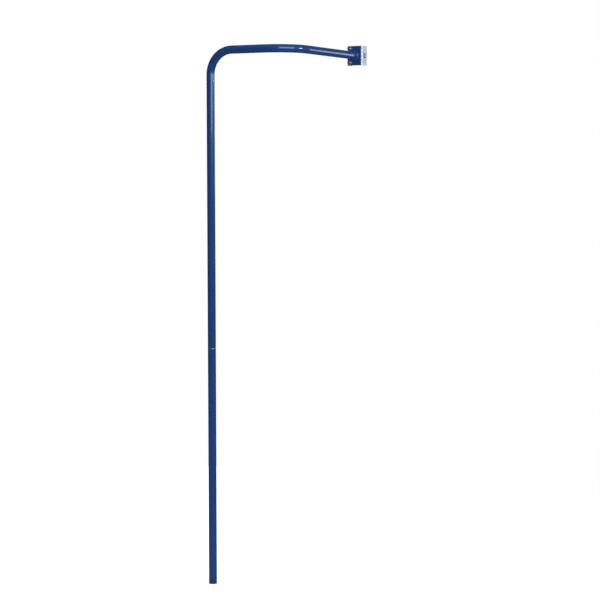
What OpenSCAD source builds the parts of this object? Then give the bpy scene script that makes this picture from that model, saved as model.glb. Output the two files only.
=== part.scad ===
// Two-part tubular post, bent twice at the top, ending in a saddle bracket for a square timber.
// Origin: centre of the foot, on the ground. +Z up, side arm along +X, back arm along +Y.
// All sizes in millimetres.

/* [Post tube] */
// Outside diameter of both tubes
tube_d = 38; // [30:0.1:48]
// Wall thickness of both tubes
tube_wall = 2; // [1.5:0.1:3]
// Height of the arms' centre line above the ground
post_h = 2522; // [1900:1:3200]
// Height of the top end of the lower tube above the ground
lower_top = 1128; // [500:1:1600]

/* [Bends and arms] */
// Centre-line radius of the bend at the top of the post
top_bend_r = 112; // [80:1:150]
// Centre-line radius of the bend between the two arms
turn_r = 146; // [80:1:180]
// From the post's axis to the back arm's axis
side_arm = 425; // [360:1:700]
// From the side arm's axis to the front of the head plate
back_arm = 655; // [300:1:900]

/* [Joint sleeve] */
// Length of the sleeve inside each tube
sleeve_reach = 120; // [60:1:180]
// Wall thickness of the sleeve
sleeve_wall = 3; // [2:0.1:5]
// Height of the stop ring between the two tubes
ring_h = 3; // [2:0.1:8]
// Radial gap between the sleeve and the bore of the tubes
sleeve_gap = 0.08; // [0.02:0.01:0.1]

/* [Foot plug] */
// Length of the plug inside the tube
plug_reach = 30; // [20:1:60]
// Thickness of the plug's flange under the tube
flange_t = 4; // [2:0.5:8]
// Number of gripping ribs
rib_count = 4; // [2:1:5]
// Thickness of each rib at the bore
rib_t = 1.6; // [1:0.1:2.5]
// How far the ribs stand out from the plug's body
rib_h = 1.5; // [0.5:0.1:2]
// Wall of the hollow plug
plug_wall = 2.5; // [1.5:0.1:4]

/* [Head plate] */
// Height of the plate
plate_h = 92; // [84:1:140]
// Thickness of the plate
plate_t = 5; // [4:0.5:10]
// Corner radius on the screw side
screw_corner_r = 12; // [4:0.5:14]
// Corner radius on the plain side
plain_corner_r = 2; // [1:0.5:10]
// Leg of the fillet weld round the tube
weld_leg = 5; // [3:0.5:6]

/* [Saddle] */
// Width of the timber that the saddle takes
timber_w = 75; // [60:1:120]
// Total side play of the timber in the saddle
timber_play = 1; // [0.5:0.1:3]
// Sheet thickness of the saddle
saddle_wall = 3; // [2:0.5:5]
// Inside bend radius of the saddle
saddle_bend = 3; // [1:0.5:6]
// Height of the saddle
saddle_h = 95; // [84:1:160]
// Depth of the saddle, from the front of its web to the open edges
saddle_depth = 52; // [40:1:90]
// Radius of the open corners of the two sides
side_corner_r = 6; // [2:0.5:12]

/* [Fasteners] */
// Thread diameter of the screws and the cross bolt
bolt_d = 12; // [8:0.1:14.4]
// Diameter of the clearance holes over the thread
hole_play = 1; // [0.5:0.1:2]
// Width across flats of the nuts and the bolt head
hex_af = 19; // [17:0.5:24]
// Height of a nut
nut_h = 10; // [6:0.1:13]
// Height of the cross bolt's head
bolt_head_h = 7.5; // [5:0.1:10]
// Outside diameter of the washers
washer_d = 24; // [20:0.5:28]
// Thickness of the washers
washer_t = 2.5; // [1.5:0.1:3]
// Diameter of the countersunk screw head
screw_head_d = 24; // [18:0.5:26]
// Thread length that stands past each nut
thread_end = 4; // [2:0.5:10]
// Distance of the screws from the top and bottom edges of the plate
screw_inset = 12.5; // [12:0.5:20]

/* [Hidden] */
$fn = 96;
eps = 1;

tube_r = tube_d / 2;
bore_r = tube_r - tube_wall;
upper_bottom = lower_top + ring_h;
sleeve_r = bore_r - sleeve_gap;

saddle_in_w = timber_w + timber_play;
saddle_w = saddle_in_w + 2 * saddle_wall;
saddle_bend_out = saddle_bend + saddle_wall;
plate_w = saddle_w - 2 * saddle_bend_out;
web_back = plate_t + saddle_wall;
side_mid = plate_t + saddle_depth / 2;

hole_r = (bolt_d + hole_play) / 2;
screw_head_r = screw_head_d / 2;
sink_depth = screw_head_r - bolt_d / 2;
screw_x = -(saddle_in_w / 2 - saddle_bend - screw_head_r - 1);
screw_z = plate_h / 2 - screw_inset;
hex_key = bolt_d * 2 / 3;
hex_key_depth = bolt_d * 0.4;

plug_r = bore_r - rib_h;
plug_lead = 3;
thread_chamfer = bolt_d / 10;

blue = "#1d3f7a";
zinc = "#b9bcc4";
bright_zinc = "#8f949c";
plug_black = "#20242c";

// ---- helpers -------------------------------------------------------------

// Turns what stands along +Z so that it points along +Y.
module along_y() {
    rotate([-90, 0, 0]) children();
}

// Turns what stands along +Z so that it points along +X.
module along_x() {
    rotate([0, 90, 0]) children();
}

// Places its children at the head: origin at the centre of the plate's front face.
module at_head() {
    translate([side_arm, back_arm, post_h]) children();
}

// Places its children at each of the two screws, pointing along +Y.
module at_screws() {
    for (side = [-1, 1]) {
        at_head() translate([screw_x, 0, side * screw_z]) along_y() children();
    }
}

// A flat ring with a round hole, from z = 0 upwards.
module ring(outer_r, inner_r, height) {
    difference() {
        cylinder(r = outer_r, h = height);
        translate([0, 0, -eps]) cylinder(r = inner_r, h = height + 2 * eps);
    }
}

// A hexagon prism with its corners turned off at 30 degrees at both ends.
module hex_prism(height) {
    corner_r = hex_af / sqrt(3);
    face_r = 0.48 * hex_af;
    clear_r = corner_r + eps;
    bevel = (clear_r - face_r) * tan(30);
    intersection() {
        cylinder(r = corner_r, h = height, $fn = 6);
        union() {
            cylinder(r1 = face_r, r2 = clear_r, h = bevel);
            translate([0, 0, bevel]) cylinder(r = clear_r, h = height - 2 * bevel);
            translate([0, 0, height - bevel]) cylinder(r1 = clear_r, r2 = face_r, h = bevel);
        }
    }
}

// A threaded shank of plain outline with a bevelled end, from z = 0 upwards.
module shank(length) {
    cylinder(d = bolt_d, h = length - thread_chamfer);
    translate([0, 0, length - thread_chamfer])
        cylinder(r1 = bolt_d / 2, r2 = bolt_d / 2 - thread_chamfer, h = thread_chamfer);
}

// A nut with its threaded hole.
module nut() {
    difference() {
        hex_prism(nut_h);
        translate([0, 0, -eps]) cylinder(d = bolt_d, h = nut_h + 2 * eps);
    }
}

// The tube's cross-section.
module tube_section() {
    difference() {
        circle(r = tube_r);
        circle(r = bore_r);
    }
}

// A straight length of tube, from z = 0 upwards.
module straight(length) {
    linear_extrude(height = length) tube_section();
}

// A quarter bend of tube in the XY plane, from +X round to +Y.
module bend(radius) {
    rotate_extrude(angle = 90) translate([radius, 0]) tube_section();
}

// The outline of the plate in X and Z, with its own corner radius on each side.
module plate_outline() {
    half_w = plate_w / 2;
    half_h = plate_h / 2;
    left = screw_corner_r;
    right = plain_corner_r;
    translate([-half_w + left, -half_h]) square([plate_w - left - right, plate_h]);
    translate([-half_w, -half_h + left]) square([plate_w / 2, plate_h - 2 * left]);
    translate([0, -half_h + right]) square([half_w, plate_h - 2 * right]);
    for (side = [-1, 1]) {
        translate([-half_w + left, side * (half_h - left)]) circle(r = left);
        translate([half_w - right, side * (half_h - right)]) circle(r = right);
    }
}

// A channel outline in X and Y: flat front at y = 0, round front corners, open at the back.
module channel_outline(width, depth, corner_r) {
    translate([-width / 2 + corner_r, 0]) square([width - 2 * corner_r, depth]);
    translate([-width / 2, corner_r]) square([width, depth - corner_r]);
    for (side = [-1, 1]) {
        translate([side * (width / 2 - corner_r), corner_r]) circle(r = corner_r);
    }
}

// What the rounding of the open corners takes away, as a bar across both sides.
module corner_cut() {
    difference() {
        cube([side_corner_r + eps, side_corner_r + eps, saddle_w + 2 * eps]);
        translate([0, 0, -eps]) cylinder(r = side_corner_r, h = saddle_w + 4 * eps);
    }
}

// ---- pieces --------------------------------------------------------------

// Straight tube from the foot plug's flange to the joint.
module lower_tube() {
    color(blue) translate([0, 0, flange_t]) ring(tube_r, bore_r, lower_top - flange_t);
}

// Ribbed hollow plug that closes the lower end of the post.
module foot_plug() {
    pitch = (plug_reach - plug_lead) / rib_count;
    color(plug_black) difference() {
        union() {
            cylinder(r = tube_r, h = flange_t);
            translate([0, 0, flange_t]) cylinder(r = plug_r, h = plug_reach);
            for (i = [0 : rib_count - 1]) {
                translate([0, 0, flange_t + plug_lead / 2 + (i + 0.5) * pitch - rib_t])
                    cylinder(r1 = bore_r, r2 = plug_r, h = 2 * rib_t);
            }
        }
        translate([0, 0, flange_t])
            cylinder(r = plug_r - plug_wall, h = plug_reach + eps);
    }
}

// Inner sleeve with the stop ring that shows between the two tubes.
module joint_sleeve() {
    lead = 2;
    color(zinc) difference() {
        union() {
            translate([0, 0, lower_top - sleeve_reach + lead])
                cylinder(r = sleeve_r, h = 2 * sleeve_reach + ring_h - 2 * lead);
            translate([0, 0, lower_top - sleeve_reach])
                cylinder(r1 = sleeve_r - lead / 2, r2 = sleeve_r, h = lead);
            translate([0, 0, upper_bottom + sleeve_reach - lead])
                cylinder(r1 = sleeve_r, r2 = sleeve_r - lead / 2, h = lead);
            translate([0, 0, lower_top]) cylinder(r = tube_r, h = ring_h);
        }
        translate([0, 0, lower_top - sleeve_reach - eps])
            cylinder(r = sleeve_r - sleeve_wall, h = 2 * sleeve_reach + ring_h + 2 * eps);
    }
}

// Tube from the joint up, over the top bend, along the side arm and back to the head.
module upper_tube() {
    bend_bottom = post_h - top_bend_r;
    turn_start = side_arm - turn_r;
    color(blue) union() {
        translate([0, 0, upper_bottom]) straight(bend_bottom - upper_bottom);
        translate([top_bend_r, 0, bend_bottom])
            rotate([90, 0, 0]) rotate([0, 0, 90]) bend(top_bend_r);
        translate([top_bend_r, 0, post_h]) along_x() straight(turn_start - top_bend_r);
        translate([turn_start, turn_r, post_h]) rotate([0, 0, -90]) bend(turn_r);
        translate([side_arm, turn_r, post_h]) along_y() straight(back_arm - turn_r);
    }
}

// Flat plate welded across the end of the back arm.
module head_plate() {
    color(blue) difference() {
        at_head() translate([0, plate_t, 0]) rotate([90, 0, 0])
            linear_extrude(height = plate_t) plate_outline();
        at_screws() screw_hole();
    }
}

// Hole for a screw: clearance hole with the countersink that the web and plate share.
module screw_hole() {
    translate([0, 0, -eps]) cylinder(r = hole_r, h = web_back + 2 * eps);
    translate([0, 0, web_back - sink_depth])
        cylinder(r1 = bolt_d / 2, r2 = screw_head_r, h = sink_depth);
    translate([0, 0, web_back]) cylinder(r = screw_head_r, h = eps);
}

// Fillet weld between the back arm and the plate.
module plate_weld() {
    color(blue) at_head() rotate([90, 0, 0]) difference() {
        cylinder(r1 = tube_r + weld_leg, r2 = tube_r, h = weld_leg);
        translate([0, 0, -eps]) cylinder(r = tube_r, h = weld_leg + 2 * eps);
    }
}

// Bent channel that holds the timber, with holes for the screws and the cross bolt.
module saddle() {
    color(zinc) difference() {
        at_head() translate([0, plate_t, -saddle_h / 2]) linear_extrude(height = saddle_h)
            difference() {
                channel_outline(saddle_w, saddle_depth, saddle_bend_out);
                translate([0, saddle_wall])
                    channel_outline(saddle_in_w, saddle_depth + eps, saddle_bend);
            }
        at_screws() screw_hole();
        at_head() translate([-saddle_w / 2 - eps, side_mid, 0])
            along_x() cylinder(r = hole_r, h = saddle_w + 2 * eps);
        for (side = [0, 1]) {
            at_head() mirror([0, 0, side])
                translate([-saddle_w / 2 - eps, plate_t + saddle_depth - side_corner_r,
                           saddle_h / 2 - side_corner_r])
                    rotate([90, 0, 90]) corner_cut();
        }
    }
}

// Countersunk screws, flush with the inside of the saddle, pointing to the front.
module plate_screws() {
    length = web_back + washer_t + nut_h + thread_end;
    color(bright_zinc) at_screws() translate([0, 0, web_back]) mirror([0, 0, 1]) difference() {
        union() {
            shank(length);
            cylinder(r1 = screw_head_r, r2 = bolt_d / 2, h = sink_depth);
        }
        translate([0, 0, -eps])
            cylinder(r = hex_key / sqrt(3), h = hex_key_depth + eps, $fn = 6);
    }
}

// Washers under the nuts on the front of the plate.
module plate_washers() {
    color(bright_zinc) at_screws() translate([0, 0, -washer_t])
        ring(washer_d / 2, hole_r, washer_t);
}

// Nuts on the front of the plate.
module plate_nuts() {
    color(bright_zinc) at_screws() translate([0, 0, -washer_t - nut_h]) nut();
}

// Bolt across the saddle that runs through the timber, its head on the +X side.
module cross_bolt() {
    under_head = saddle_w / 2 + washer_t;
    length = 2 * under_head + nut_h + thread_end;
    color(bright_zinc) at_head() translate([under_head, side_mid, 0]) {
        along_x() hex_prism(bolt_head_h);
        mirror([1, 0, 0]) along_x() shank(length);
    }
}

// One washer on each side of the saddle.
module cross_washers() {
    color(bright_zinc) for (side = [0, 1]) {
        at_head() mirror([side, 0, 0]) translate([saddle_w / 2, side_mid, 0])
            along_x() ring(washer_d / 2, hole_r, washer_t);
    }
}

// Nut on the -X side of the saddle.
module cross_nut() {
    color(bright_zinc) at_head()
        translate([-saddle_w / 2 - washer_t - nut_h, side_mid, 0]) along_x() nut();
}

lower_tube();
foot_plug();
joint_sleeve();
upper_tube();
head_plate();
plate_weld();
saddle();
plate_screws();
plate_washers();
plate_nuts();
cross_bolt();
cross_washers();
cross_nut();
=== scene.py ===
import math

import bmesh
import bpy
from mathutils import Matrix, Vector


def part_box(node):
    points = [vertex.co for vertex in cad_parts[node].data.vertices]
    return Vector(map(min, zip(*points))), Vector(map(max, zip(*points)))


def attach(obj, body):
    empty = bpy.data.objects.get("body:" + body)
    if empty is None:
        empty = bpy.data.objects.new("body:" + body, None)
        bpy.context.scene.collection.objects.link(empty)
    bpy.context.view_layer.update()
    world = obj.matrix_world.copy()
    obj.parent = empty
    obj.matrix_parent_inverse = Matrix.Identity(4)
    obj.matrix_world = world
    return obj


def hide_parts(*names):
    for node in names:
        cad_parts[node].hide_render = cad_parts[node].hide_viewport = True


# Looks of a two-part tubular post that is bent twice at the top and ends in a saddle bracket.
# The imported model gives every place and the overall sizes. This script gives each piece its
# rounded edges, its threads, its weld and its finish, and lights it on a plain pale floor.

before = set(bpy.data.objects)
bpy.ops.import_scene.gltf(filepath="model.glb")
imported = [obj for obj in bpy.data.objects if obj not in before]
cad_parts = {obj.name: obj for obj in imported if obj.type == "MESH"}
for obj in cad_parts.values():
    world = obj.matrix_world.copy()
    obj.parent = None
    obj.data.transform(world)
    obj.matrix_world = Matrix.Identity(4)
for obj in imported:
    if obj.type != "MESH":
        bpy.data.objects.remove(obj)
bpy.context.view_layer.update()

# ---- sizes of the real thing, in metres ------------------------------------

MM = 0.001
ORIGIN = Vector((0, 0, 0))
X_AXIS = Vector((1, 0, 0))
Y_AXIS = Vector((0, 1, 0))
Z_AXIS = Vector((0, 0, 1))
QUARTER = math.pi / 2
FULL_TURN = 2 * math.pi
MERGE_WITHIN = 0.001 * MM

TUBE_WALL = 2 * MM
TOP_BEND_R = 112 * MM
TURN_R = 146 * MM
TUBE_SIDES = 96
BEND_STEPS = 40
RIM_ROUNDING = 0.45 * MM

WELD_RIPPLES = 36
STEPS_PER_RIPPLE = 10
WELD_ROWS = 12
WELD_SINK = 0.2 * MM  # how far the bead reaches into the tube's wall
WELD_BULGE = 0.16 * 0.7  # along each axis, as a share of the leg
WELD_EDGE = 0.02  # share of the leg that stays smooth at each edge
RIPPLE_HEIGHT = 0.45 * MM
RIPPLE_LEAN = 0.35  # how far a ripple runs ahead at the bead's middle, in ripples
RIPPLE_CURVE = 0.6  # the power of its rise
RIPPLE_MIDDLE = 0.6  # the height that is neither raised nor sunk

SCREW_R = 6 * MM
THREAD_PITCH = 1.75 * MM
THREAD_DEPTH = 1.05 * MM
THREAD_BEVEL = 0.8 * THREAD_DEPTH
THREAD_SIDES = 64
THREAD_STEPS = 36  # in each turn
RIDGE_ROOT = 0.44  # half the ridge's width at its root, in pitches
RIDGE_CREST = 0.06  # half its width at its crest
RIDGE_SINK = 0.1 * MM  # how far its root lies inside the core
SCREW_CUT = 1.5 * MM  # from the nut's outer face to where the modelled thread starts
BOLT_THREAD = 40 * MM

lower_low, lower_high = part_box("lower_tube")
upper_low, upper_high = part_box("upper_tube")
screw_low, screw_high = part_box("plate_screws")
bolt_low, bolt_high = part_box("cross_bolt")
weld_low, weld_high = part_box("plate_weld")
nut_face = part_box("plate_nuts")[0].y

tube_r = lower_high.x
arm_z = upper_high.z - tube_r
arm_x = upper_high.x - tube_r
arm_end_y = upper_high.y
head = Vector((arm_x, arm_end_y, arm_z))


# ---- meshes ----------------------------------------------------------------


def finish_mesh(bm, sharp_degrees=32):
    """Smooths the faces, with a crease where two of them meet at more than the given angle."""
    sharp = math.radians(sharp_degrees)
    for face in bm.faces:
        face.smooth = True
    for edge in bm.edges:
        edge.smooth = not edge.is_manifold or edge.calc_face_angle() < sharp


def soften(bm, width, segments=2, sharp_degrees=30):
    """Rounds every edge at which two faces meet at more than the given angle."""
    sharp = math.radians(sharp_degrees)
    corners = [e for e in bm.edges if e.is_manifold and e.calc_face_angle() > sharp]
    bmesh.ops.bevel(
        bm,
        geom=corners,
        offset=width,
        offset_type="OFFSET",
        segments=segments,
        profile=0.5,
        affect="EDGES",
        clamp_overlap=True,
        material=-1,
    )


def add_piece(name, bm, body, material, nodes):
    """Turns a finished bmesh into a piece that rides on a body and stands for CAD nodes."""
    mesh = bpy.data.meshes.new(name)
    bm.to_mesh(mesh)
    bm.free()
    mesh.materials.append(material)
    piece = bpy.data.objects.new(name, mesh)
    bpy.context.scene.collection.objects.link(piece)
    flat = piece.modifiers.new("flat_faces", "WEIGHTED_NORMAL")
    flat.keep_sharp = True
    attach(piece, body)
    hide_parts(*nodes)
    return piece


def merged_copy(node):
    """The CAD node's shape as one merged bmesh whose flat faces are whole."""
    bm = bmesh.new()
    bm.from_mesh(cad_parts[node].data)
    bmesh.ops.remove_doubles(bm, verts=bm.verts, dist=MERGE_WITHIN)
    bmesh.ops.dissolve_limit(
        bm, angle_limit=math.radians(0.3), verts=bm.verts, edges=bm.edges
    )
    return bm


def softened_copy(node, width, segments=2):
    """The CAD node's shape with its edges rounded."""
    bm = merged_copy(node)
    soften(bm, width, segments)
    finish_mesh(bm)
    return bm


def extrude_ring(bm, ring, step):
    """Extrudes a ring of edges along a vector and returns the new ring."""
    made = bmesh.ops.extrude_edge_only(bm, edges=ring)["geom"]
    verts = [g for g in made if isinstance(g, bmesh.types.BMVert)]
    bmesh.ops.translate(bm, verts=verts, vec=step)
    return [g for g in made if isinstance(g, bmesh.types.BMEdge)]


def spin_ring(bm, ring, centre, axis, angle, steps):
    """Sweeps a ring of edges round an axis and returns the last ring."""
    verts = list(dict.fromkeys(v for e in ring for v in e.verts))
    made = bmesh.ops.spin(
        bm,
        geom=ring + verts,
        cent=centre,
        axis=axis,
        angle=angle,
        steps=steps,
        use_duplicate=False,
    )["geom_last"]
    return [g for g in made if isinstance(g, bmesh.types.BMEdge)]


def tube_ring(bm, base):
    """A ring of the tube's outside, level, at the given place."""
    made = bmesh.ops.create_circle(
        bm, cap_ends=False, radius=tube_r, segments=TUBE_SIDES, matrix=Matrix.Translation(base)
    )
    return list(dict.fromkeys(e for v in made["verts"] for e in v.link_edges))


def thicken(bm):
    """Gives an open tube its wall, inwards, and rounds both rims."""
    bmesh.ops.recalc_face_normals(bm, faces=bm.faces)
    bmesh.ops.solidify(bm, geom=bm.faces[:], thickness=TUBE_WALL)
    soften(bm, RIM_ROUNDING)
    finish_mesh(bm)


def lower_tube_mesh():
    """The straight lower half."""
    bm = bmesh.new()
    ring = tube_ring(bm, Vector((0, 0, lower_low.z)))
    extrude_ring(bm, ring, Z_AXIS * (lower_high.z - lower_low.z))
    thicken(bm)
    return bm


def upper_tube_mesh():
    """The upper half: up the post, over the top bend, along the side arm and round the turn."""
    bm = bmesh.new()
    bend_bottom = arm_z - TOP_BEND_R
    turn_start = arm_x - TURN_R
    ring = tube_ring(bm, Vector((0, 0, upper_low.z)))
    ring = extrude_ring(bm, ring, Z_AXIS * (bend_bottom - upper_low.z))
    ring = spin_ring(
        bm, ring, Vector((TOP_BEND_R, 0, bend_bottom)), Y_AXIS, QUARTER, BEND_STEPS
    )
    ring = extrude_ring(bm, ring, X_AXIS * (turn_start - TOP_BEND_R))
    ring = spin_ring(bm, ring, Vector((turn_start, TURN_R, arm_z)), Z_AXIS, QUARTER, BEND_STEPS)
    extrude_ring(bm, ring, Y_AXIS * (arm_end_y - TURN_R))
    thicken(bm)
    return bm


def thread_ridge(bm, core_r, length):
    """Winds one helical ridge round the Z axis, closed at both ends."""
    root = core_r - RIDGE_SINK
    crest = core_r + THREAD_DEPTH
    profile = [
        bm.verts.new((root, 0, -RIDGE_ROOT * THREAD_PITCH)),
        bm.verts.new((crest, 0, -RIDGE_CREST * THREAD_PITCH)),
        bm.verts.new((crest, 0, RIDGE_CREST * THREAD_PITCH)),
        bm.verts.new((root, 0, RIDGE_ROOT * THREAD_PITCH)),
    ]
    edges = [bm.edges.new((profile[i - 1], profile[i])) for i in range(len(profile))]
    bm.faces.new(profile)
    turns = length / THREAD_PITCH - RIDGE_ROOT
    last = bmesh.ops.spin(
        bm,
        geom=profile + edges,
        cent=ORIGIN,
        axis=Z_AXIS,
        dvec=Z_AXIS * (THREAD_PITCH / THREAD_STEPS),
        angle=FULL_TURN * turns,
        steps=round(THREAD_STEPS * turns),
        use_duplicate=False,
    )["geom_last"]
    rim = [g for g in last if isinstance(g, bmesh.types.BMEdge)]
    bmesh.ops.contextual_create(bm, geom=rim)


def bevel_tip(verts, length, major_r):
    """Draws a thread's far end in to a bevel, and makes its two ends flat."""
    for vert in verts:
        past = vert.co.z - (length - THREAD_BEVEL)
        reach = math.hypot(vert.co.x, vert.co.y)
        allowed = major_r - max(0.0, past)
        if reach > allowed:
            vert.co.x *= allowed / reach
            vert.co.y *= allowed / reach
        vert.co.z = min(max(vert.co.z, 0.0), length)


def threaded_end(bm, start, direction, length, major_r):
    """Adds a screw thread: a core with one helical ridge, bevelled at its far end."""
    before = set(bm.verts)
    core_r = major_r - THREAD_DEPTH
    bmesh.ops.create_cone(
        bm,
        cap_ends=True,
        segments=THREAD_SIDES,
        radius1=core_r,
        radius2=core_r,
        depth=length,
        matrix=Matrix.Translation(Z_AXIS * (length / 2)),
    )
    thread_ridge(bm, core_r, length)
    added = [v for v in bm.verts if v not in before]
    bevel_tip(added, length, major_r)
    turn = direction.to_track_quat("Z", "Y").to_matrix().to_4x4()
    bmesh.ops.transform(bm, matrix=Matrix.Translation(start) @ turn, verts=added)
    bmesh.ops.recalc_face_normals(bm, faces=bm.faces)


def cut_away(bm, place, normal):
    """Removes what lies on the side of a plane that the normal points to, and closes the cut."""
    geom = bm.verts[:] + bm.edges[:] + bm.faces[:]
    cut = bmesh.ops.bisect_plane(
        bm, geom=geom, dist=MERGE_WITHIN, plane_co=place, plane_no=normal, clear_outer=True
    )["geom_cut"]
    rim = [g for g in cut if isinstance(g, bmesh.types.BMEdge)]
    bmesh.ops.holes_fill(bm, edges=rim, sides=0)


# ---- camera, light and floor -----------------------------------------------


def add_camera():
    """A long lens about seven and a half metres away, level with the upper half of the post."""
    azimuth = math.radians(27.61)
    pitch = math.radians(5.08)
    distance, aside, height = 7.499, 0.4157, 2.0255
    back = Vector((math.sin(azimuth), -math.cos(azimuth), 0))
    right = Vector((math.cos(azimuth), math.sin(azimuth), 0))
    forward = -back * math.cos(pitch) - Z_AXIS * math.sin(pitch)
    data = bpy.data.cameras.new("camera")
    data.sensor_width = 36
    data.lens = 96
    data.clip_start = 0.05
    data.clip_end = 200
    camera = bpy.data.objects.new("camera", data)
    camera.location = back * distance + right * aside + Z_AXIS * height
    camera.rotation_mode = "QUATERNION"
    camera.rotation_quaternion = forward.to_track_quat("-Z", "Y")
    bpy.context.scene.collection.objects.link(camera)
    bpy.context.scene.camera = camera


def add_area_light(name, place, target, width, height, power, colour):
    """A softbox at a place, turned towards a target."""
    data = bpy.data.lights.new(name, "AREA")
    data.shape = "RECTANGLE"
    data.size = width
    data.size_y = height
    data.energy = power
    data.color = colour
    light = bpy.data.objects.new(name, data)
    light.location = place
    light.visible_camera = False
    light.rotation_mode = "QUATERNION"
    light.rotation_quaternion = (Vector(target) - Vector(place)).to_track_quat("-Z", "Y")
    bpy.context.scene.collection.objects.link(light)
    return light


def add_lights():
    """Soft light that makes no highlights, and three highlights at the right."""
    neutral = (1, 1, 1)
    cool = (0.68, 0.83, 1.0)
    cooler = (0.61, 0.8, 1.0)
    window = (0.68, 0.87, 1.0)
    back = (0.6, 0.77, 1.0)
    for light in (
        ("overhead", (0.5, -1.5, 6.5), (0.2, 0.3, 0), 7, 7, 340, neutral),
        ("rear", (-3.6, 4.2, 3.4), (0.2, 0.3, 1.6), 3, 3, 150, neutral),
        ("low_front", (3.4, -5.8, 0.9), (0.2, 0.3, 2.0), 4, 1.5, 75, neutral),
        ("right_fill", (3.7, -2.21, 3.51), (0.35, 0.1, 2.5), 3.9, 1.5, 135, cool),
    ):
        add_area_light(*light).visible_glossy = False
    front = ("right_front", (3.6, -2.14, 3.48), (0.35, 0.1, 2.5), 3.9, 2.6, 195, cooler)
    add_area_light(*front).visible_diffuse = False
    add_area_light("right_window", (4.2, 1.2, 3.02), (0.4, 0.1, 2.5), 0.6, 0.9, 56, window)
    add_area_light("right_back", (1.9, 4.2, 2.45), (0.42, 0.4, 2.5), 1.3, 1.4, 18, back)


def add_surroundings():
    """White where the camera looks past the floor, and a dim even room for everything else."""
    world = bpy.data.worlds.new("surroundings")
    bpy.context.scene.world = world
    sky = Nodes(world)
    room_light = {"Color": (0.74, 0.85, 1.0, 1), "Strength": 0.08}
    white = {"Color": (1, 1, 1, 1), "Strength": 1.0}
    room = sky.node("ShaderNodeBackground", {}, room_light)["Background"]
    seen = sky.node("ShaderNodeBackground", {}, white)["Background"]
    direct = sky.node("ShaderNodeLightPath", {}, {})["Is Camera Ray"]
    mixed = sky.node("ShaderNodeMixShader", {}, {0: direct, 1: room, 2: seen})["Shader"]
    sky.node("ShaderNodeOutputWorld", {}, {"Surface": mixed})


def add_floor():
    """A plain pale floor under the foot."""
    bm = bmesh.new()
    bmesh.ops.create_circle(bm, cap_ends=True, segments=128, radius=2.9)
    mesh = bpy.data.meshes.new("floor")
    bm.to_mesh(mesh)
    bm.free()
    mesh.materials.append(pale_floor())
    floor = bpy.data.objects.new("floor", mesh)
    floor.visible_glossy = False
    bpy.context.scene.collection.objects.link(floor)


# ---- finishes --------------------------------------------------------------


class Value:
    """An output of a node. Arithmetic on one that is a number adds Math nodes."""

    def __init__(self, maker, socket):
        self.maker = maker
        self.socket = socket

    def with_other(self, operation, other):
        return self.maker.node(
            "ShaderNodeMath", {"operation": operation}, {0: self, 1: other}
        )["Value"]

    def __add__(self, other):
        return self.with_other("ADD", other)

    def __mul__(self, other):
        return self.with_other("MULTIPLY", other)

    __radd__ = __add__
    __rmul__ = __mul__


class Nodes:
    """The node tree of a material or of the world, emptied and ready to be filled."""

    def __init__(self, owner):
        owner.use_nodes = True
        self.owner = owner
        self.tree = owner.node_tree
        self.tree.nodes.clear()

    def node(self, kind, settings, sockets):
        """Adds a node, first its settings and then its sockets, and returns its outputs."""
        made = self.tree.nodes.new(kind)
        for name, value in settings.items():
            setattr(made, name, value)
        usable = [s for s in made.inputs if s.enabled]
        by_name = {s.name: s for s in reversed(usable)}
        for key, value in sockets.items():
            target = usable[key] if isinstance(key, int) else by_name[key]
            if isinstance(value, Value):
                self.tree.links.new(value.socket, target)
            else:
                target.default_value = value
        return {s.name: Value(self, s) for s in reversed(made.outputs) if s.enabled}


class Finish(Nodes):
    """A material whose patterns follow Object coordinates."""

    def __init__(self, name):
        super().__init__(bpy.data.materials.new(name))
        self.place = self.node("ShaderNodeTexCoord", {}, {})["Object"]

    def stretched(self, scale):
        """The place, with its axes scaled, so that a pattern is drawn out along one of them."""
        return self.node(
            "ShaderNodeVectorMath",
            {"operation": "MULTIPLY"},
            {0: self.place, 1: scale},
        )["Vector"]

    def noise(self, scale, detail=2.0, roughness=0.5, place=None):
        """Cloudy noise, between 0 and 1."""
        sockets = {"Vector": place or self.place, "Scale": scale}
        sockets |= {"Detail": detail, "Roughness": roughness}
        return self.node("ShaderNodeTexNoise", {}, sockets)["Fac"]

    def crystals(self, scale):
        """Three random numbers for each cell of a pattern of crystals with wavy edges."""
        wave_scale = scale * 2.5
        wave_reach = 0.35 / scale
        wander = self.node(
            "ShaderNodeTexNoise", {}, {"Vector": self.place, "Scale": wave_scale, "Detail": 2.0}
        )["Color"]
        bent = self.node(
            "ShaderNodeVectorMath",
            {"operation": "MULTIPLY_ADD"},
            {0: wander, 1: (wave_reach,) * 3, 2: self.place},
        )["Vector"]
        cells = self.node(
            "ShaderNodeTexVoronoi", {"feature": "F1"}, {"Vector": bent, "Scale": scale}
        )["Color"]
        return self.node("ShaderNodeSeparateColor", {}, {"Color": cells})

    def step(self, value, low, high):
        """0 below low and 1 above high, and smooth between them."""
        return self.node(
            "ShaderNodeMapRange",
            {"interpolation_type": "SMOOTHSTEP"},
            {"Value": value, "From Min": low, "From Max": high},
        )["Result"]

    def mix(self, amount, first, second):
        """A colour between two colours."""
        return self.node(
            "ShaderNodeMix",
            {"data_type": "RGBA"},
            {"Factor": amount, "A": first, "B": second},
        )["Result"]

    def bump(self, height, distance, strength=1.0, under=None):
        """A normal that follows a height, on top of another normal if there is one."""
        sockets = {"Height": height, "Distance": distance, "Strength": strength}
        if under is not None:
            sockets["Normal"] = under
        return self.node("ShaderNodeBump", {}, sockets)["Normal"]

    def surface(self, sockets):
        """Ends the material in a Principled shader and returns it."""
        shader = self.node("ShaderNodeBsdfPrincipled", {}, sockets)["BSDF"]
        self.node("ShaderNodeOutputMaterial", {}, {"Surface": shader})
        return self.owner


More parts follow.
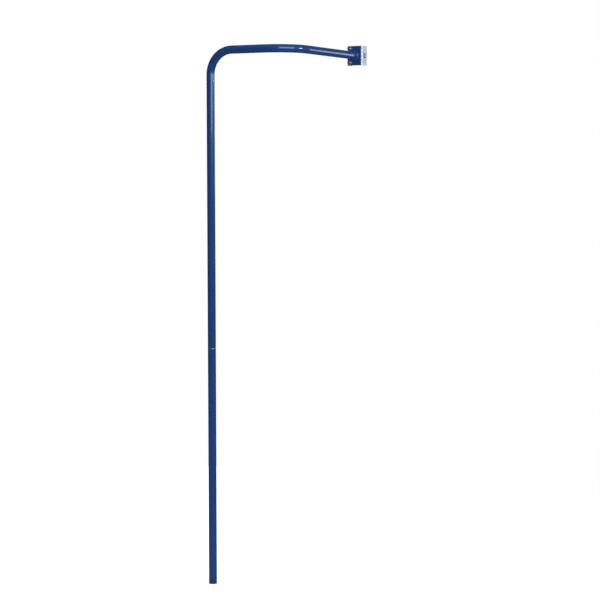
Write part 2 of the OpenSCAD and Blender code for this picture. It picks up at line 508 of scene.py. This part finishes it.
def pale_floor():
    """Plain matt floor that glows a little, so that its shadows stay pale."""
    finish = Finish("pale_floor")
    mottle = finish.noise(0.8, detail=3)
    tone = finish.mix(mottle, (0.93, 0.93, 0.935, 1), (0.96, 0.96, 0.96, 1))
    return finish.surface(
        {
            "Base Color": tone,
            "Roughness": 0.9,
            "Specular IOR Level": 0.1,
            "Emission Color": tone,
            "Emission Strength": 0.4,
        }
    )


def blue_paint(name):
    """Glossy powder coat with a faint orange peel, a little dust and a few dull rubbed lines."""
    finish = Finish(name)
    drift = finish.noise(2.2, detail=3)
    mottle = finish.noise(55, detail=3)
    dust = finish.step(finish.noise(900, detail=1), 0.72, 0.78)
    rub = finish.noise(30, detail=4, place=finish.stretched((1, 1, 0.06)))
    rubbed = finish.step(rub, 0.55, 0.75)
    tone = finish.mix(drift, (0.0080, 0.034, 0.122, 1), (0.0100, 0.039, 0.135, 1))
    tone = finish.mix(mottle * 0.35, tone, (0.012, 0.0445, 0.156, 1))
    tone = finish.mix(rubbed * 0.12, tone, (0.030, 0.065, 0.180, 1))
    tone = finish.mix(dust * 0.06, tone, (0.15, 0.17, 0.22, 1))
    peel = finish.bump(finish.noise(330, detail=1), 0.03 * MM, 0.9)
    fine_peel = finish.bump(finish.noise(1400, detail=1), 0.006 * MM, 0.3, under=peel)
    return finish.surface(
        {
            "Base Color": tone,
            "Roughness": 0.17 + rubbed * 0.12 + mottle * 0.05,
            "Specular IOR Level": 0.42,
            "Coat Weight": 0.35,
            "Coat Roughness": 0.06,
            "Coat IOR": 1.45,
            "Normal": fine_peel,
        }
    )


def galvanised_steel():
    """Hot-dip zinc: a soft grain of crystals in two sizes, with cloudy dull patches."""
    finish = Finish("galvanised_steel")
    coarse = finish.crystals(150.0)
    fine = finish.crystals(420.0)
    cloud = finish.noise(60, detail=4, roughness=0.6)
    speck = finish.noise(700, detail=2)
    grain = coarse["Red"] * 0.6 + fine["Red"] * 0.4
    tone = finish.mix(grain, (0.465, 0.40, 0.38, 1), (0.72, 0.63, 0.595, 1))
    tone = finish.mix(finish.step(cloud, 0.45, 0.7) * 0.4, tone, (0.72, 0.69, 0.68, 1))
    tone = finish.mix(finish.step(speck, 0.60, 0.68) * 0.35, tone, (0.30, 0.29, 0.31, 1))
    rough = 0.34 + coarse["Green"] * 0.14 + fine["Green"] * 0.08 + cloud * 0.12
    height = coarse["Blue"] * 0.4 + fine["Blue"] * 0.3 + cloud * 0.5 + speck * 0.15
    return finish.surface(
        {
            "Base Color": tone,
            "Metallic": 0.45,
            "Roughness": rough,
            "Normal": finish.bump(height, 0.05 * MM, 0.5),
        }
    )


def dark_zinc():
    """Zinc plating that has gone dark and slightly purple, with rubbed and chalky patches."""
    finish = Finish("dark_zinc")
    cloud = finish.noise(190, detail=4, roughness=0.6)
    scratch = finish.noise(300, detail=3, place=finish.stretched((1, 0.12, 1)))
    chalk = finish.step(finish.noise(750, detail=3), 0.58, 0.68)
    tone = finish.mix(
        finish.step(cloud, 0.32, 0.68), (0.24, 0.22, 0.27, 1), (0.62, 0.59, 0.66, 1)
    )
    tone = finish.mix(finish.step(scratch, 0.56, 0.72) * 0.7, tone, (0.80, 0.78, 0.83, 1))
    tone = finish.mix(chalk * 0.4, tone, (0.52, 0.52, 0.54, 1))
    rough = 0.22 + cloud * 0.2 + chalk * 0.15
    return finish.surface(
        {
            "Base Color": tone,
            "Metallic": 0.9,
            "Roughness": rough,
            "Normal": finish.bump(scratch + cloud * 0.5 + chalk * 0.3, 0.03 * MM, 0.5),
        }
    )


def drawn_steel():
    """Bare drawn tube with fine lines along its length."""
    finish = Finish("drawn_steel")
    lines = finish.noise(900, detail=3, place=finish.stretched((1, 1, 0.02)))
    cloud = finish.noise(45, detail=3)
    tone = finish.mix(lines, (0.58, 0.66, 0.78, 1), (0.80, 0.88, 0.98, 1))
    tone = finish.mix(finish.step(cloud, 0.5, 0.75) * 0.4, tone, (0.36, 0.39, 0.45, 1))
    return finish.surface(
        {
            "Base Color": tone,
            "Metallic": 0.95,
            "Roughness": 0.24 + lines * 0.16,
            "Normal": finish.bump(lines, 0.02 * MM, 0.5),
        }
    )


def moulded_plastic():
    """Dark moulded plastic with a fine spark-eroded grain and paler scuffs underneath."""
    finish = Finish("moulded_plastic")
    grain = finish.noise(1600, detail=2)
    scuff = finish.step(finish.noise(180, detail=4), 0.55, 0.72)
    tone = finish.mix(grain, (0.017, 0.021, 0.032, 1), (0.028, 0.034, 0.048, 1))
    tone = finish.mix(scuff * 0.35, tone, (0.10, 0.11, 0.13, 1))
    return finish.surface(
        {
            "Base Color": tone,
            "Roughness": 0.48 + grain * 0.14,
            "Specular IOR Level": 0.4,
            "Normal": finish.bump(grain, 0.02 * MM, 0.5),
        }
    )


# ---- pieces ----------------------------------------------------------------


def add_tubes(paint):
    """Both halves of the post."""
    bm = lower_tube_mesh()
    add_piece("lower_post", bm, "lower", paint, ["lower_tube"])
    bm = upper_tube_mesh()
    add_piece("bent_post", bm, "upper", paint, ["upper_tube"])


def add_sleeve():
    """The sleeve between the halves, with its stop ring."""
    bm = softened_copy("joint_sleeve", 0.4 * MM)
    add_piece("inner_sleeve", bm, "sleeve", drawn_steel(), ["joint_sleeve"])


def add_plug():
    """The plug in the foot."""
    bm = softened_copy("foot_plug", 0.35 * MM)
    add_piece("end_plug", bm, "lower", moulded_plastic(), ["foot_plug"])


def add_plate(paint):
    """The plate across the end of the back arm."""
    bm = softened_copy("head_plate", 0.9 * MM, segments=3)
    add_piece("end_plate", bm, "upper", paint, ["head_plate"])


def weld_profile(bm, leg):
    """A section through the bead, at the arm's +X side, as a closed loop."""
    loop = []
    for i in range(WELD_ROWS + 1):
        share = i / WELD_ROWS
        bulge = WELD_BULGE * leg * math.sin(math.pi * share)
        out = tube_r - WELD_SINK + leg * share + bulge
        along = arm_end_y - leg * (1 - share) - bulge
        loop.append(bm.verts.new((arm_x + out, min(along, arm_end_y), arm_z)))
    loop.append(bm.verts.new((arm_x + tube_r - WELD_SINK, arm_end_y, arm_z)))
    edges = [bm.edges.new((loop[i - 1], loop[i])) for i in range(len(loop))]
    return loop + edges


def ripple(bm, leg):
    """Raises overlapping ripples on the bead's face, and leaves its two edges as they are."""
    for vert in bm.verts:
        offset = vert.co - head
        reach = math.hypot(offset.x, offset.z)
        share = (reach - tube_r) / leg
        if share < WELD_EDGE or share > 1 - WELD_EDGE or offset.y > -WELD_EDGE * leg:
            continue
        angle = math.atan2(offset.z, offset.x)
        wave = WELD_RIPPLES * angle / FULL_TURN + RIPPLE_LEAN * math.sin(math.pi * share)
        ridge = (wave % 1.0) ** RIPPLE_CURVE
        swell = RIPPLE_HEIGHT * math.sin(math.pi * share) * (ridge - RIPPLE_MIDDLE)
        outward = Vector((offset.x / reach, -1, offset.z / reach)).normalized()
        vert.co += outward * swell


def weld_mesh():
    """A fillet bead with overlapping ripples, laid round the tube on the plate."""
    leg = weld_high.y - weld_low.y
    bm = bmesh.new()
    bmesh.ops.spin(
        bm,
        geom=weld_profile(bm, leg),
        cent=head,
        axis=Y_AXIS,
        angle=FULL_TURN,
        steps=WELD_RIPPLES * STEPS_PER_RIPPLE,
        use_merge=True,
        use_duplicate=False,
    )
    bmesh.ops.remove_doubles(bm, verts=bm.verts, dist=0.01 * MM)
    bmesh.ops.recalc_face_normals(bm, faces=bm.faces)
    ripple(bm, leg)
    finish_mesh(bm, sharp_degrees=70)
    return bm


def add_weld():
    """The weld. Its coat is a material of its own, because it has a slot of its own."""
    coat = blue_paint("weld_coat")
    add_piece("tube_weld", weld_mesh(), "upper", coat, ["plate_weld"])


def add_saddle():
    """The bracket that takes the timber."""
    bm = softened_copy("saddle", 0.45 * MM)
    add_piece("timber_saddle", bm, "upper", galvanised_steel(), ["saddle"])


def add_fasteners(zinc):
    """Washers and nuts."""
    for node, name, width in (
        ("plate_washers", "front_washers", 0.3 * MM),
        ("cross_washers", "side_washers", 0.3 * MM),
        ("plate_nuts", "front_nuts", 0.25 * MM),
        ("cross_nut", "side_nut", 0.25 * MM),
    ):
        add_piece(name, softened_copy(node, width), "upper", zinc, [node])


def add_screws(zinc):
    """Countersunk screws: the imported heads, cut off inside the nuts, with threaded ends."""
    head_r = (screw_high.x - screw_low.x) / 2
    screw_x = (screw_high.x + screw_low.x) / 2
    screw_rise = screw_high.z - head_r - arm_z
    cut_y = nut_face + SCREW_CUT
    bm = merged_copy("plate_screws")
    cut_away(bm, Vector((screw_x, cut_y, arm_z)), -Y_AXIS)
    soften(bm, 0.25 * MM)
    for side in (-1, 1):
        start = Vector((screw_x, cut_y, arm_z + side * screw_rise))
        threaded_end(bm, start, -Y_AXIS, cut_y - screw_low.y, SCREW_R)
    finish_mesh(bm)
    add_piece("sunk_screws", bm, "upper", zinc, ["plate_screws"])


def add_cross_bolt(zinc):
    """The bolt through the saddle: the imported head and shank, threaded towards its nut."""
    bolt_y = (bolt_high.y + bolt_low.y) / 2
    cut_x = bolt_low.x + BOLT_THREAD
    start = Vector((cut_x, bolt_y, arm_z))
    bm = merged_copy("cross_bolt")
    cut_away(bm, start, -X_AXIS)
    soften(bm, 0.3 * MM)
    threaded_end(bm, start, -X_AXIS, BOLT_THREAD, SCREW_R)
    finish_mesh(bm)
    add_piece("through_bolt", bm, "upper", zinc, ["cross_bolt"])


# ---- the scene -------------------------------------------------------------

bpy.context.scene.view_settings.view_transform = "Standard"
add_camera()
add_lights()
add_surroundings()
add_floor()

paint = blue_paint("blue_powder_coat")
zinc = dark_zinc()
add_tubes(paint)
add_sleeve()
add_plug()
add_plate(paint)
add_weld()
add_saddle()
add_fasteners(zinc)
add_screws(zinc)
add_cross_bolt(zinc)
